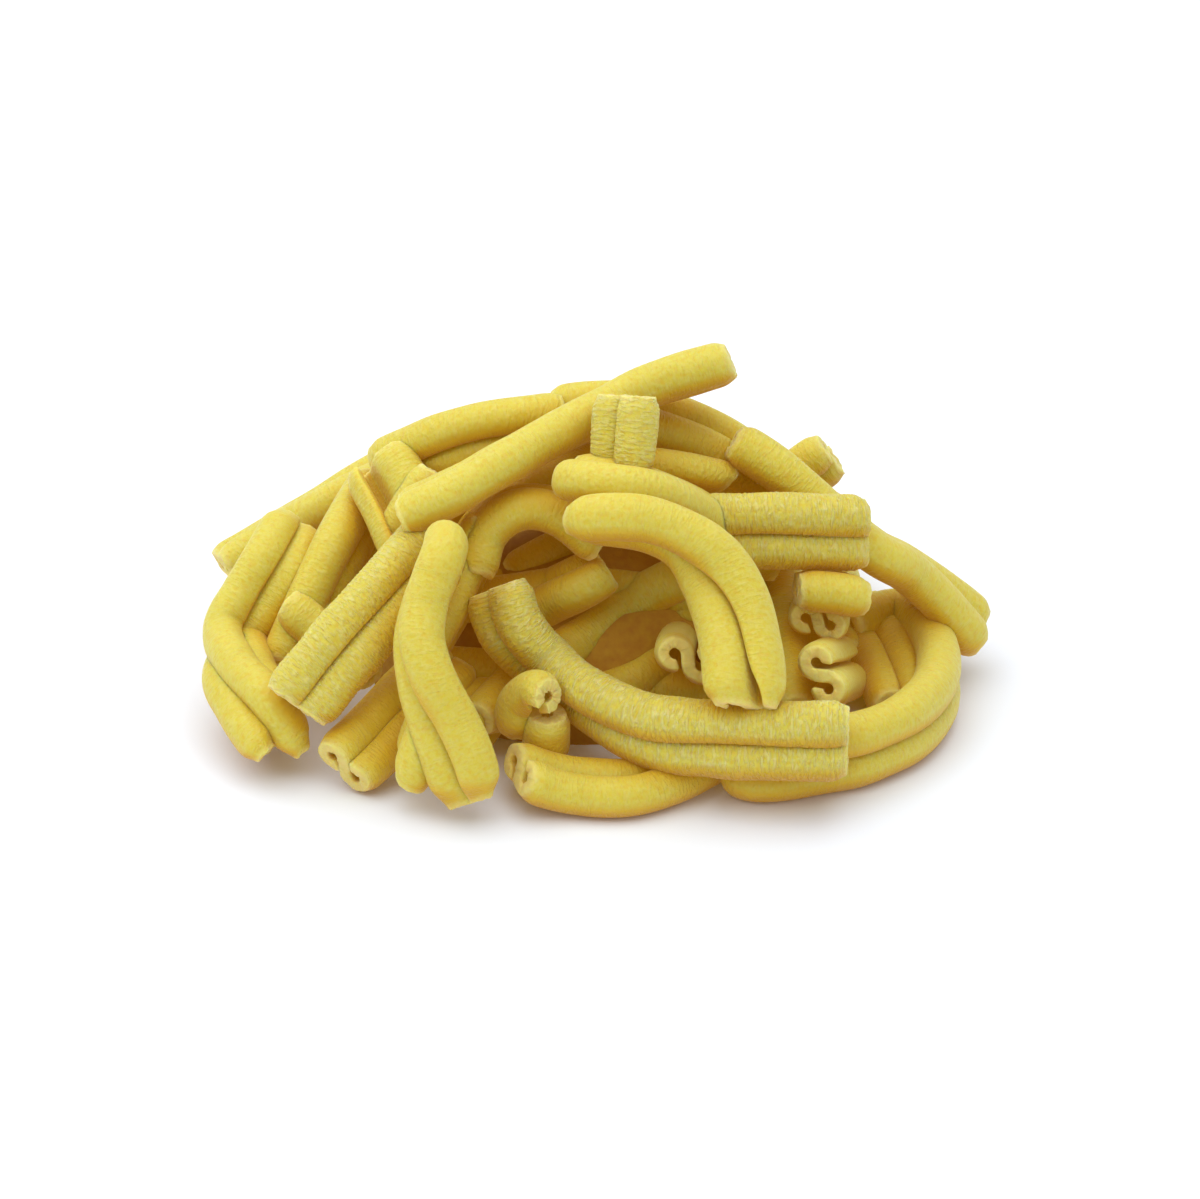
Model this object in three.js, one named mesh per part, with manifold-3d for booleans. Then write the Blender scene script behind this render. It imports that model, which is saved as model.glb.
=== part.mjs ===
// A loose heap of caserecce: short dry pasta strands, each a strip rolled inwards from both
// edges so that its section is an S, lying as they fell on a flat table.
// Millimetres, +Z up. The heap stands on z = 0 with its box centred on the origin, and is
// looked at from -Y.
import * as THREE from "three";
import Module from "manifold-3d";

const wasm = await Module();
wasm.setup();

// ---- one strand --------------------------------------------------------------------------
const STRIP = 1.85; // thickness of the rolled strip
const ROLL_RADIUS = 1.78; // middle of the strip, round the axis of each roll
const ROLL_OFFSET = 1.98; // from the middle of the strand to each roll's axis
const CURL = 258; // degrees that the strip runs round each roll
const OUTER_SIDES = 4; // facets round the outside of a roll
const INNER_SIDES = 2; // facets round its bore
const STEP = 9.6; // length of one segment along a strand
const SLIVER = 0.1; // edges shorter than this are closed up after fusing

// ---- the direction in which the routes below were measured -------------------------------
const UNIT = 0.13; // mm for one unit across or down in the plane square to the view
const MIDDLE = [600, 599.5]; // the units that fall on the aim point
const TILT = THREE.MathUtils.degToRad(28); // the view looks down by this much
const DISTANCE = 700; // from the eye to the aim point
const AIM = new THREE.Vector3(0, 0, 10.4);
const SHIFT = new THREE.Vector3(-0.29, 0.01, 0); // brings the box of the heap to the middle

const ACROSS = new THREE.Vector3(1, 0, 0);
const UPWARD = new THREE.Vector3(0, Math.sin(TILT), Math.cos(TILT));
const TO_EYE = new THREE.Vector3(0, -Math.cos(TILT), Math.sin(TILT));
const EYE = AIM.clone().addScaledVector(TO_EYE, DISTANCE);
const UP = new THREE.Vector3(0, 0, 1);

// Each route point is [across, down, height above the table, roll in degrees]. A roll of 0
// shows both rolls of the strand side by side, 90 shows it edge-on.
const SEEN = [
  // over the crest
  { at: [[400, 524, 29.4, 45], [450, 494, 32, 78], [500, 465, 34.5, 86], [550, 437, 36.5, 88], [600, 411, 38.5, 90], [650, 386, 40.5, 92], [731, 361, 43.2, 92]], size: 1.03 },
  { at: [[550, 428, 33, 25], [500, 434, 33, 25], [450, 446, 31, 25], [385, 474, 25.5, 15]] },
  { at: [[377, 462, 29, -5], [398, 500, 26, 0], [425, 560, 21, 5]], size: 1.08, curl: 225 },
  { at: [[446, 479, 29, 30], [425, 512, 25, 30], [405, 545, 21, 30]] },
  { at: [[619, 470, 36, 48], [622, 436, 40, 48], [624, 394, 44.5, 48]] },
  { at: [[549, 417, 34, 48], [620, 411, 35, 48], [690, 431, 32, 48], [740, 459, 28, 48], [800, 505, 20, 48]] },
  { at: [[640, 474, 31, -20], [685, 481, 29.5, -20], [719, 488, 28, -20]], size: 0.8, curl: 225 },
  { at: [[470, 520, 24, 80], [530, 488, 27, 80], [600, 455, 28, 80]] },
  // left side
  { at: [[223, 566, 9.6, 78], [280, 532, 13, 85], [345, 494, 19, 80], [420, 455, 23, 60]] },
  { at: [[372, 492, 22, 60], [335, 560, 18, 60], [290, 650, 9, 60]] },
  { at: [[298, 525, 20, 18], [278, 562, 18, 18], [254, 602, 14, 20], [236, 634, 11, 38], [246, 668, 10, 70], [274, 702, 8.4, 85], [300, 742, 4.2, 85]] },
  { at: [[240, 648, 8.5, 72], [231, 680, 7.3, 72], [246, 714, 5.9, 72], [270, 750, 3.9, 72]] },
  { at: [[440, 540, 26, 12], [400, 585, 23, 12], [345, 647, 17.5, 12], [296, 706, 11.3, 12]], size: 1.06 },
  { at: [[292, 603, 15, 75], [325, 632, 12, 75], [365, 675, 9, 78]] },
  { at: [[343, 768, 3.9, 2], [372, 742, 5.2, 3], [400, 712, 7.5, 4], [450, 662, 10, 5]] },
  { at: [[471, 803, 3.2, 30], [459, 762, 8, 33], [443, 722, 12.5, 42], [427, 682, 17, 62], [418, 642, 20.5, 80], [423, 600, 25, 88], [436, 566, 28, 90], [444, 543, 30, 90], [446, 533, 29, 90]], size: 1.08 },
  { at: [[414, 775, 4.4, 80], [424, 735, 6, 80], [440, 690, 8, 80]] },
  // middle
  { at: [[487, 517, 27, 85], [470, 560, 22, 85], [448, 610, 17, 85], [425, 650, 13, 85]] },
  { at: [[476, 556, 22, 70], [498, 526, 26, 75], [530, 514, 28, 80], [562, 522, 27, 80], [600, 550, 23, 80]] },
  { at: [[848, 741, 10.5, 22], [780, 741, 10.5, 22], [720, 739, 10, 23], [650, 732, 9.5, 25], [590, 711, 10.5, 30], [545, 674, 12.5, 38], [512, 630, 17, 44], [497, 588, 21.5, 48]], size: 1.1 },
  { at: [[537, 698, 12.5, -47], [538, 724, 8.6, -47], [541, 754, 3.8, -47]], size: 1.12 },
  { at: [[518, 768, 5.6, 4], [545, 779, 3.4, 2], [580, 787, 2.8, 0], [630, 787, 2.75, 0], [675, 771, 2.75, 0], [712, 752, 2.75, 0]], level: true },
  { at: [[686, 665, 16, 0], [688, 657, 12, 0], [691, 648, 7, 0]], curl: 210 },
  { at: [[500, 627, 12, 65], [548, 598, 16, 65], [583, 581, 19, 65], [606, 567, 20.5, 65]] },
  { at: [[692, 590, 16, 30], [630, 622, 12, 30], [560, 675, 8, 30]], size: 1.15 },
  { at: [[585, 540, 19, 80], [545, 560, 17, 80], [512, 578, 15, 80]] },
  { at: [[430, 664, 7.5, 85], [490, 668, 7.5, 85], [560, 676, 6.5, 85]] },
  { at: [[525, 690, 6.5, 80], [503, 715, 5.5, 80], [480, 742, 4.6, 80]] },
  { at: [[690, 640, 9, 80], [640, 680, 6.5, 80], [590, 700, 5, 80]] },
  // right side
  { at: [[745, 703, 15.2, -22], [742, 655, 20.5, -14], [732, 610, 24.5, 10], [714, 572, 28, 38], [688, 543, 31, 65], [650, 525, 33, 76], [610, 520, 33.5, 80], [574, 523, 32.5, 80]], size: 1.1 },
  { at: [[570, 476, 35, 70], [610, 482, 36, 80], [655, 492, 34, 85], [700, 515, 28, 85], [722, 545, 23, 85]] },
  { at: [[733, 441, 33, 92], [775, 468, 30, 90], [812, 500, 26, 90], [868, 547, 20.5, 85], [905, 569, 16, 82], [940, 596, 11.5, 72], [977, 632, 5.6, 52]], size: 1.04 },
  { at: [[831, 454, 25, 60], [800, 476, 22, 60], [765, 502, 18, 60]] },
  { at: [[864, 533, 24.5, 22], [780, 531, 26, 22], [700, 532, 26, 22]], size: 1.08 },
  { at: [[797, 590, 18.5, 88], [832, 592, 18, 88], [860, 597, 17, 88]] },
  { at: [[815, 624, 14.5, 20], [817, 616, 11, 20], [820, 608, 6, 20]], size: 0.95 },
  { at: [[852, 668, 5, -10], [838, 672, 9, -10], [826, 676, 13, -10]], size: 1.08 },
  { at: [[782, 560, 12, 80], [790, 640, 8, 80], [800, 720, 4.8, 80]] },
  { at: [[835, 622, 6, 40], [865, 655, 4, 40], [900, 705, 3.4, 40]] },
  { at: [[848, 640, 5.05, 90], [872, 629, 5.05, 90], [898, 625, 5.05, 90], [922, 637, 5.05, 90], [937, 665, 5.05, 90], [934, 698, 5.05, 90], [908, 727, 5.05, 90], [868, 746, 5.05, 90], [830, 755, 5.05, 90], [785, 763, 5.05, 90], [752, 764, 5.05, 90], [732, 756, 5.05, 90]], level: true, size: 1.07 },
];

// The far side: three points [x, y, z] and a roll from lying flat.
const FAR = [
  // round the rim, on the table
  { at: [[-45, 3, 4.1], [-42, 20, 4.1], [-27, 34, 4.1]], roll: 10 },
  { at: [[-19, 34.5, 4.1], [2, 37.6, 4.1], [26, 33.5, 4.1]], roll: 5 },
  { at: [[18, 31, 4.3], [27, 26, 4.2], [31, 16, 4.1]], roll: 15 },
  // leaning up to the crest
  { at: [[-34, 29, 8.5], [-26, 21, 17], [-17, 12.5, 26]], roll: -10 },
  { at: [[-20, 31, 9.5], [-16, 21, 19], [-10, 13, 28]], roll: 15 },
  { at: [[-9, 34.6, 7.4], [-3, 24, 19], [-1, 14, 29.5]], roll: -20 },
  { at: [[5, 35, 7.4], [6, 23, 20], [8, 13, 29]], roll: 20 },
  { at: [[19, 32.5, 8], [17, 21, 18.5], [14, 12, 27.5]], roll: -15 },
  { at: [[33, 23, 10], [28, 18, 15.5], [21, 13, 22]], roll: 10 },
  { at: [[-17, 29, 19.5], [-2, 29, 21.5], [13, 26, 22]], roll: 20 },
];

// The core: a low dome under the strands, flat below.
const CORE_MIDDLE = [-2, 4];
const CORE_REACH = [29.5, 24.5];
const CORE_TOP = 21.5;
const CORE_SIDES = 20;
const CORE_RINGS = 5;

// Where a point seen at (across, down) lies when it is this high above the table.
function spot([across, down, height]) {
  const seen = AIM.clone()
    .addScaledVector(ACROSS, (across - MIDDLE[0]) * UNIT)
    .addScaledVector(UPWARD, (MIDDLE[1] - down) * UNIT);
  const share = (EYE.z - height) / (EYE.z - seen.z);
  return EYE.clone().lerp(seen, share);
}

// The outline of the S, in the plane square to the strand: x along the line through both
// rolls, y across it. Each side of the strip is the outside of one roll, then the bore of
// the other.
function outline(curl = CURL) {
  const slant = Math.acos(ROLL_RADIUS / ROLL_OFFSET);
  const start = slant - Math.PI; // where the strip leaves the roll for the middle
  const end = start + THREE.MathUtils.degToRad(curl);
  const arc = (radius, sides, turn) => {
    const points = [];
    // A polygon round an arc keeps its size when its corners stand out a little.
    const out = radius / Math.sqrt(Math.cos((end - start) / sides / 2));
    for (let i = 0; i <= sides; i++) {
      const a = end + ((start - end) * i) / sides;
      const r = i === 0 || i === sides ? radius : out;
      points.push(new THREE.Vector2(turn * (ROLL_OFFSET + r * Math.cos(a)), turn * r * Math.sin(a)));
    }
    return points;
  };
  const half = (turn) => [
    ...arc(ROLL_RADIUS + STRIP / 2, OUTER_SIDES, turn),
    ...arc(ROLL_RADIUS - STRIP / 2, INNER_SIDES, -turn).reverse(),
  ];
  const ring = [...half(1), ...half(-1)];
  return THREE.ShapeUtils.area(ring) < 0 ? ring.reverse() : ring;
}

// A strand: the S carried along its route, turned by its rolls, with flat cut ends.
function strand({ route, rolls, level, size = 1, curl }) {
  const curve = new THREE.CatmullRomCurve3(route, false, "catmullrom", 0.5);
  const steps = Math.max(2, Math.round(curve.getLength() / STEP));
  const ring = outline(curl);
  const count = ring.length;
  const position = [];
  for (let i = 0; i <= steps; i++) {
    const u = i / steps;
    const centre = curve.getPointAt(u);
    const along = curve.getTangentAt(u);
    const side = along.clone().cross(level ? UP : TO_EYE).normalize();
    const face = side.clone().cross(along);
    const t = curve.getUtoTmapping(u) * (rolls.length - 1);
    const k = Math.min(Math.floor(t), rolls.length - 2);
    const roll = THREE.MathUtils.degToRad(THREE.MathUtils.lerp(rolls[k], rolls[k + 1], t - k));
    const a = side.clone().multiplyScalar(Math.cos(roll)).addScaledVector(face, Math.sin(roll));
    const b = face.clone().multiplyScalar(Math.cos(roll)).addScaledVector(side, -Math.sin(roll));
    for (const p of ring) {
      const v = centre.clone().addScaledVector(a, p.x * size).addScaledVector(b, p.y * size);
      position.push(v.x, v.y, v.z);
    }
  }
  const index = [];
  for (let i = 0; i < steps; i++)
    for (let j = 0; j < count; j++) {
      const k = (j + 1) % count;
      const [p, q, r, s] = [i * count + j, i * count + k, (i + 1) * count + k, (i + 1) * count + j];
      index.push(p, r, q, p, s, r);
    }
  for (const [p, q, r] of THREE.ShapeUtils.triangulateShape(ring, [])) {
    index.push(p, q, r);
    const far = steps * count;
    index.push(far + p, far + r, far + q);
  }
  return solid(position, index);
}

// The core, as rings that shrink towards its top.
function core() {
  const position = [];
  const index = [];
  for (let j = 0; j < CORE_RINGS; j++)
    for (let i = 0; i < CORE_SIDES; i++) {
      const lift = (j / CORE_RINGS) * (Math.PI / 2);
      const a = (2 * Math.PI * i) / CORE_SIDES;
      position.push(
        CORE_MIDDLE[0] + CORE_REACH[0] * Math.cos(lift) * Math.cos(a),
        CORE_MIDDLE[1] + CORE_REACH[1] * Math.cos(lift) * Math.sin(a),
        CORE_TOP * Math.sin(lift),
      );
    }
  position.push(CORE_MIDDLE[0], CORE_MIDDLE[1], CORE_TOP, CORE_MIDDLE[0], CORE_MIDDLE[1], 0);
  const top = CORE_RINGS * CORE_SIDES;
  for (let i = 0; i < CORE_SIDES; i++) {
    const k = (i + 1) % CORE_SIDES;
    for (let j = 0; j + 1 < CORE_RINGS; j++) {
      const [p, q] = [j * CORE_SIDES, (j + 1) * CORE_SIDES];
      index.push(p + i, p + k, q + k, p + i, q + k, q + i);
    }
    const last = (CORE_RINGS - 1) * CORE_SIDES;
    index.push(last + i, last + k, top, k, i, top + 1);
  }
  return solid(position, index);
}

function solid(position, index) {
  const made = new wasm.Manifold(
    new wasm.Mesh({
      numProp: 3,
      vertProperties: Float32Array.from(position),
      triVerts: Uint32Array.from(index),
    }),
  );
  return made;
}

const strands = [
  ...SEEN.map(({ at, ...rest }) => ({ route: at.map(spot), rolls: at.map((p) => p[3]), ...rest })),
  ...FAR.map(({ at, roll }) => ({
    route: at.map((p) => new THREE.Vector3(...p)),
    rolls: at.map(() => roll),
    level: true,
  })),
];

// The strands fused on to the core, cut off level at the table. The largest body is the
// heap: shut hollows between strands are filled and loose scraps are left out.
let heap = core();
for (const one of strands) heap = heap.add(strand(one));
heap = heap.trimByPlane([0, 0, 1], 0).simplify(SLIVER);
heap = heap.decompose().reduce((best, body) => (body.volume() > best.volume() ? body : best));

const mesh = heap.getMesh();
const geometry = new THREE.BufferGeometry();
geometry.setAttribute("position", new THREE.BufferAttribute(Float32Array.from(mesh.vertProperties), mesh.numProp));
geometry.setIndex(new THREE.BufferAttribute(Uint32Array.from(mesh.triVerts), 1));
geometry.translate(...SHIFT.toArray());
geometry.computeVertexNormals();

const pasta = new THREE.MeshStandardMaterial({ color: 0xe6cf62, roughness: 0.7, metalness: 0 });
const caserecce = new THREE.Mesh(geometry, pasta);
caserecce.name = "caserecce_heap";

const group = new THREE.Group();
group.add(caserecce);
export default group;
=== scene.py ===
"""A loose heap of dry caserecce on a plain table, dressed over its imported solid.

Every strand starts as a flat strip. It is rolled inwards from both edges, so that its section
is an S, and laid along its own route. The routes are given as the front view shows them: how
far across and down, how high over the table, and how far the strand is turned about itself.
"""

import functools
import math

import bpy
import numpy as np
from mathutils import Matrix, Vector


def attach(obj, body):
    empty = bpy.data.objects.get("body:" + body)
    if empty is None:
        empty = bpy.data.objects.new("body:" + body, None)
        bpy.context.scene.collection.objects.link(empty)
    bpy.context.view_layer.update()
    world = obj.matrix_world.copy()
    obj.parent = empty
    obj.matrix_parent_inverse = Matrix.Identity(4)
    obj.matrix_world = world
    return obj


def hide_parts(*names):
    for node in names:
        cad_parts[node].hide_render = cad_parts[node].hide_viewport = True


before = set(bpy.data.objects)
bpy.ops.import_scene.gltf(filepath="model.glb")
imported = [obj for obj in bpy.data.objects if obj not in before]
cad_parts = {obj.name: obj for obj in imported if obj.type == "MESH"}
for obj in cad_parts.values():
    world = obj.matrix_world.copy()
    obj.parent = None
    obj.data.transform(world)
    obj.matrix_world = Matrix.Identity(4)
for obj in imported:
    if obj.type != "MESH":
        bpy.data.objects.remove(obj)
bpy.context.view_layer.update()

bl_info = {
    "name": "Caserecce heap",
    "version": (1, 0, 0),
    "blender": (4, 5, 0),
    "location": "View3D > Sidebar > Caserecce",
    "description": "Lays a loose heap of rolled dry pasta over its packed solid",
    "category": "Add Mesh",
}

MM = 0.001
NODE = "caserecce_heap"
BODY = "root"

# ---- one strand, in mm --------------------------------------------------------------------
STRIP = 1.85  # thickness of the rolled strip
ROLL_RADIUS = 1.78  # middle of the strip, round the axis of each roll
ROLL_OFFSET = 1.98  # from the middle of the strand to each roll's axis
CURL = 286.0  # degrees that the strip runs round each roll
EDGE = 0.42  # rounding of the strip's edges
EDGE_PARTS = 2  # divisions of that rounding
RIPPLE = 0.60  # pitch of the ripples that a rough die leaves
RIPPLE_HEIGHT = 0.045  # and their height
LAY_LENGTH = 40.0  # the flat strip's length before it is fitted to a route
ACROSS_PARTS = 36  # divisions across the strip
HIDDEN_STEP = 0.75  # length of a division along a strand of the far side
PLAIN_STEP = 0.42  # along a plain strand
FINE_STEP = 0.13  # and along one whose ripples are modelled
PARTS_ROUND = 10  # the divisions along a strand come in tens,
PARTS_LEAST = 20  # and are never fewer than these

# ---- how one strand differs from the next, in mm and shares ----------------------------------
SPREAD, SPREAD_PITCH = 0.05, 17.0  # how loosely it is rolled, and the pitch at which that varies
CURL_DRIFT, CURL_PITCH = 0.012, 23.0  # how far round it is rolled
GIRTH_DRIFT, GIRTH_PITCH = 0.012, 9.0  # how thick it is
OPENING_REACH = 3.5  # from the end, where an opened roll is unrolled
END_TAPER = 0.2  # share by which a roll narrows at its very end
TAPER_REACH = (0.6, 2.2)  # from the end: where it narrows, and how much farther a full taper goes
CUT_REACH = (1.2, 6.0)  # from the end: where the cut shows, and how much farther with its lean
CUT_LEAN = 0.10  # the most that a cut leans across, where its row names no lean
CUT_TILT = 0.12  # the most that it leans the other way
CUT_ROUGH = ((0.10, 1.7, 2.6), (0.05, -1.0, 1.1))  # height, slant through the strip and pitch
WAVE_PITCHES = (0.7, 1.5)  # shares of its pitch that a slow wave is drawn from
BLOTCH_PITCHES = (0.7, 1.4)  # and a blotch
ANY_PHASE = 6.28  # a turn, in radians
RIPPLE_DRIFT = ((1.5, 3.2), (0.8, 1.3))  # how far the ripples wander, each with its pitch
RIPPLE_COVER = 0.30  # share of a rough strand that ripples cover, before the patches
RIPPLE_PATCHES = ((0.55, 2.6), (0.3, 9.0))
RIPPLE_BEADS = ((0.3, 0.8),)
PATTERN_SHIFT, PATTERN_SHIFTS = 7.3, 50  # a strand's beads are moved on by one of so many steps

# ---- painted shade: the shade that the strands give one another ------------------------------
BALL_STEP = 2.5  # mm between the balls that stand in for a strand where it shelters another
SHELTER = 16.0  # mm to the farthest ball that still shelters a place
SHELTER_PART = 6.0  # mm of a strand that share one choice of balls
BESIDE = 0.4  # light that a ball beside a place takes, where one overhead takes all
BENEATH = 0.1  # and one beneath it
UNDERSIDE = 2.8  # light that a place facing down loses, as if to so many balls
UNDERSIDE_FROM = 0.1  # how far up a place may face and still lose some of it
SHADE_RATE = 0.62  # how quickly what is lost adds up to full shade
HOLLOW_SHADE = 0.5  # least shade on the hollow side of a roll
HOLLOW_FROM = 1.5  # where that side begins, in lengths of the straight part of each half

# ---- the pasta's surface: blotches in a metre, and shares ------------------------------------
CLOUDS = 130.0
PATCHES = 260.0
SWAY = 420.0
INNER_GRAIN = 900.0
CRUMBS = 1500.0
GRAIN = 2600.0
BEADS = (1.2, 2.6, 0.0)  # beads in a mm, across and along the strip
BROKEN_REACH = 0.9  # mm from the end that look freshly broken
GRAIN_CHALK = 0.26  # how chalky the fine grain is
RIPPLE_CHALK = 0.12
BEAD_CHALK = 0.5
SPECK_CHALK = 0.35
BROKEN_CHALK = 0.55
# The pits' darkening is partly the grain's own and partly painted shade in the bump's hollows.
PIT_SHADE = 0.55  # how dark the pits between the crumbs are
BUMP_DEPTH = 0.26  # mm

# ---- the front view in which the routes are measured ---------------------------------------
UNIT = 0.13  # mm for one unit across or down, square to the view
AIM_SPOT = (600.0, 599.5)  # the units that fall on the aim point
TILT = math.radians(28.0)  # the view looks down by this much
DISTANCE = 700.0  # mm from the eye to the aim point
AIM = np.array([0.0, 0.0, 10.4])
SHIFT = np.array([-0.29, 0.01, 0.0])  # brings the box of the heap to the middle
FRAME_WIDTH = 1200  # units across the whole picture

RIGHTWARDS = np.array([1.0, 0.0, 0.0])
UPWARDS = np.array([0.0, math.sin(TILT), math.cos(TILT)])
TO_EYE = np.array([0.0, -math.cos(TILT), math.sin(TILT)])
UP = np.array([0.0, 0.0, 1.0])
EYE = AIM + DISTANCE * TO_EYE

# ---- the stage, in metres ---------------------------------------------------------------------
TABLE_SIZE = 6.0
TABLE_HAZE = (0.86, 0.86, 0.86)
OVERHEAD_PLACE, OVERHEAD_SIZE = (-0.12, 0.0, 0.62), 1.1
FRONT_PLACE, FRONT_SIZE = (0.25, -0.75, 0.45), 0.5
LIGHT_AIM = (0.0, 0.0, 0.015)
SENSOR = 36.0  # mm
NEAREST, FARTHEST = 0.01, 20.0


# ---- the strands ------------------------------------------------------------------------------
def strand(*points, size=1.0, curl=CURL, level=False, rough=0.25, **rest):
    """A strand's row in the tables below. Each point is (across, down, height, roll)."""
    return {
        "at": [p[:3] for p in points],
        "roll": [p[3] for p in points],
        "size": size,
        "curl": curl,
        "level": level,  # its roll is measured from the table and not from the view
        "rough": rough,
        "cut": (0.0, 0.0),  # how far each end's cut leans
        "opens": (0.0, 0.0),  # degrees by which the rolls open towards each end
        "taper": END_TAPER,
        "one_roll": False,  # a single roll and no S
        "fine": False,  # its ripples are modelled
        "seen": True,  # its points are units of the front view and not mm
        **rest,
    }


def placed(*points, roll=0.0, rough=0.25):
    """A strand's row where the points are (x, y, z) in mm."""
    return {**strand(*[(*p, roll) for p in points], level=True, rough=rough), "seen": False}


CREST = (
    # the long smooth one that rises to the highest tip
    strand((402, 515, 29.4, 80), (450, 493, 32, 82), (500, 465, 34.5, 86), (550, 437, 36.5, 88),
           (600, 411, 38.5, 90), (650, 386, 40.5, 92), (731, 361, 43.2, 92), size=1.03),
    # arched behind it to the left
    strand((550, 428, 33, 25), (500, 434, 33, 25), (450, 446, 31, 25), (385, 474, 25.5, 15),
           cut=(-0.45, 0.0)),
    # two on the left shoulder, the first one open
    strand((377, 462, 29, -5), (398, 500, 26, 0), (425, 560, 21, 5), size=1.08, curl=240),
    strand((446, 479, 29, 30), (425, 512, 25, 30), (405, 545, 21, 30)),
    # the stub that stands on end
    strand((621, 470, 36, 44), (624, 436, 40, 42), (627, 396, 44.5, 40), rough=0.8, fine=True),
    # behind the long one to the right
    strand((549, 417, 34, 48), (620, 411, 35, 48), (690, 431, 32, 48), (740, 459, 28, 48),
           (800, 505, 20, 48)),
    # the open curl below the stub
    strand((640, 474, 31, -20), (685, 481, 29.5, -20), (719, 488, 28, -20), size=0.8, curl=240,
           cut=(0.0, -0.5)),
    # below the long one, in the saddle
    strand((470, 520, 24, 80), (530, 488, 27, 80), (600, 455, 28, 80)),
)
LEFT = (
    # along the back edge, and one across below it
    strand((223, 566, 9.6, 78), (280, 532, 13, 85), (345, 494, 19, 80), (420, 455, 23, 60)),
    strand((372, 492, 22, 60), (335, 560, 18, 60), (286, 668, 7, 60)),
    # bends down round the left end, and its neighbour on the table
    strand((298, 525, 20, 18), (278, 562, 18, 18), (254, 602, 14, 20), (236, 634, 11, 38),
           (246, 668, 10, 70), (274, 702, 8.4, 85), (298, 740, 4.2, 85), cut=(0.0, 0.6), taper=0.45),
    strand((240, 648, 8.5, 72), (231, 680, 7.3, 72), (246, 714, 5.9, 72), (270, 750, 3.9, 72),
           cut=(0.0, 0.75), taper=0.45),
    # broad, down the front left
    strand((440, 540, 26, 12), (400, 585, 23, 12), (345, 647, 17.5, 12), (296, 706, 11.3, 12),
           size=1.06, rough=0.8, fine=True),
    # nested between the broad one and its twin, and the twin on the table
    strand((292, 603, 15, 75), (325, 632, 12, 75), (365, 675, 9, 78)),
    strand((343, 768, 3.9, 2), (372, 742, 5.2, 3), (400, 712, 7.5, 4), (450, 662, 10, 5), curl=296),
    # steep and wavy, down to the table, and one behind its foot
    strand((471, 803, 3.2, 30), (459, 762, 8, 33), (443, 722, 12.5, 42), (427, 682, 17, 62),
           (419, 642, 21, 78), (424, 608, 24.2, 86), (434, 580, 27.1, 90), (442, 560, 29, 90),
           (444, 552, 28.2, 90), size=1.06, taper=0.6, cut=(0.08, 0.0)),
    strand((412, 770, 4.4, 80), (424, 735, 8.6, 80), (440, 690, 13.8, 80), cut=(-0.5, 0.0)),
)
MIDDLE = (
    # behind the wavy one
    strand((487, 517, 27, 85), (470, 560, 22, 85), (448, 610, 17, 85), (425, 650, 13, 85)),
    # short and arched, in the shade
    strand((470, 574, 21, 62), (483, 532, 25.5, 72), (518, 508, 28.3, 80), (560, 513, 27.6, 80),
           (600, 545, 23.5, 80)),
    # the wide sweep along the front, with ripples
    strand((848, 741, 10.5, 22), (780, 741, 10.5, 22), (720, 739, 10, 23), (650, 731, 9.5, 38),
           (594, 703, 10.5, 64), (548, 668, 12.5, 62), (512, 630, 17, 52), (497, 588, 21.5, 48),
           size=1.1, rough=1.0, fine=True),
    # short and hooked, and the stub before it
    strand((549, 697, 13.6, 20), (535, 691, 13.2, 20), (520, 701, 11, 20), (516, 716, 8.7, 20),
           (521, 728, 6.7, 20), one_roll=True),
    strand((547, 713, 9.9, 118), (546, 735, 6.6, 118), (547, 757, 3.3, 118), size=1.12,
           one_roll=True),
    # in an arc on the table
    strand((518, 768, 5.6, 4), (545, 779, 3.9, 2), (580, 786, 2.9, 0), (630, 787, 2.75, 0),
           (675, 771, 2.75, 0), (712, 752, 2.75, 0), level=True, cut=(0.3, 0.0), curl=268),
    # the short S end that looks out of the heap
    strand((688, 660, 16, -8), (689, 652, 12, -8), (691, 643, 7, -8), curl=282, size=0.95),
    # six in the gaps
    strand((500, 627, 12, 65), (548, 598, 16, 65), (583, 581, 19, 65), (606, 567, 20.5, 65)),
    strand((692, 590, 16, 30), (630, 622, 12, 30), (560, 675, 8, 30), size=1.15),
    strand((585, 540, 19, 80), (545, 560, 17, 80), (512, 578, 15, 80)),
    strand((430, 664, 7.5, 85), (490, 668, 7.5, 85), (560, 676, 6.5, 85)),
    strand((520, 680, 6.5, 80), (497, 703, 5.5, 80), (474, 730, 4.6, 80)),
    strand((690, 640, 9, 80), (640, 680, 6.5, 80), (590, 700, 5, 80)),
)
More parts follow.
